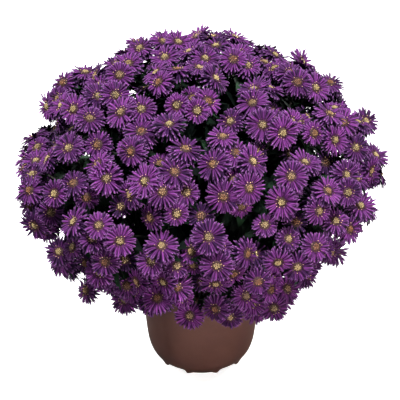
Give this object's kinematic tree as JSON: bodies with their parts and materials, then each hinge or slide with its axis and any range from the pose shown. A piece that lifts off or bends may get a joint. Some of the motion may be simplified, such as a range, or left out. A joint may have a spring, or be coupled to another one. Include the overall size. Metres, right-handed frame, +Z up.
{
  "type": "potted new york aster",
  "caption": "Mound of violet daisy blooms on leafy stems, growing in a round brown nursery pot filled with soil; stands on the pot's feet.",
  "frame": {"origin": "on the ground, under the middle of the pot and of the whole plant", "axes": "+Z up; -Y is the front, the side that the picture shows; +X is to the right of a viewer in front"},
  "size_m": [0.4064, 0.386, 0.3842],
  "materials": {
    "pot": "satin",
    "soil": "matte",
    "foliage": "matte",
    "petals": "matte"
  },
  "bodies": {
    "root": {"pot": "pot", "soil": "soil", "leafy_stem_01": "foliage", "leafy_stem_02": "foliage", "leafy_stem_03": "foliage", "leafy_stem_04": "foliage", "leafy_stem_05": "foliage", "leafy_stem_06": "foliage", "leafy_stem_07": "foliage", "leafy_stem_08": "foliage", "leafy_stem_09": "foliage", "leafy_stem_10": "foliage", "leafy_stem_11": "foliage", "leafy_stem_12": "foliage", "leafy_stem_13": "foliage", "leafy_stem_14": "foliage", "leafy_stem_15": "foliage", "leafy_stem_16": "foliage", "leafy_stem_17": "foliage", "leafy_stem_18": "foliage", "leafy_stem_19": "foliage", "leafy_stem_20": "foliage", "leafy_stem_21": "foliage", "leafy_stem_22": "foliage", "leafy_stem_23": "foliage", "leafy_stem_24": "foliage", "leafy_stem_25": "foliage", "leafy_stem_26": "foliage", "leafy_stem_27": "foliage", "leafy_stem_28": "foliage", "flower_spray_01": "petals", "flower_spray_02": "petals", "flower_spray_03": "petals", "flower_spray_04": "petals", "flower_spray_05": "petals", "flower_spray_06": "petals", "flower_spray_07": "petals", "flower_spray_08": "petals", "flower_spray_09": "petals", "flower_spray_10": "petals", "flower_spray_11": "petals", "flower_spray_12": "petals", "flower_spray_13": "petals", "flower_spray_14": "petals", "flower_spray_15": "petals", "flower_spray_16": "petals", "flower_spray_17": "petals", "flower_spray_18": "petals", "flower_spray_19": "petals", "flower_spray_20": "petals", "flower_spray_21": "petals", "flower_spray_22": "petals", "flower_spray_23": "petals", "flower_spray_24": "petals", "flower_spray_25": "petals", "flower_spray_26": "petals", "flower_spray_27": "petals", "flower_spray_28": "petals"}
  },
  "joints": []
}
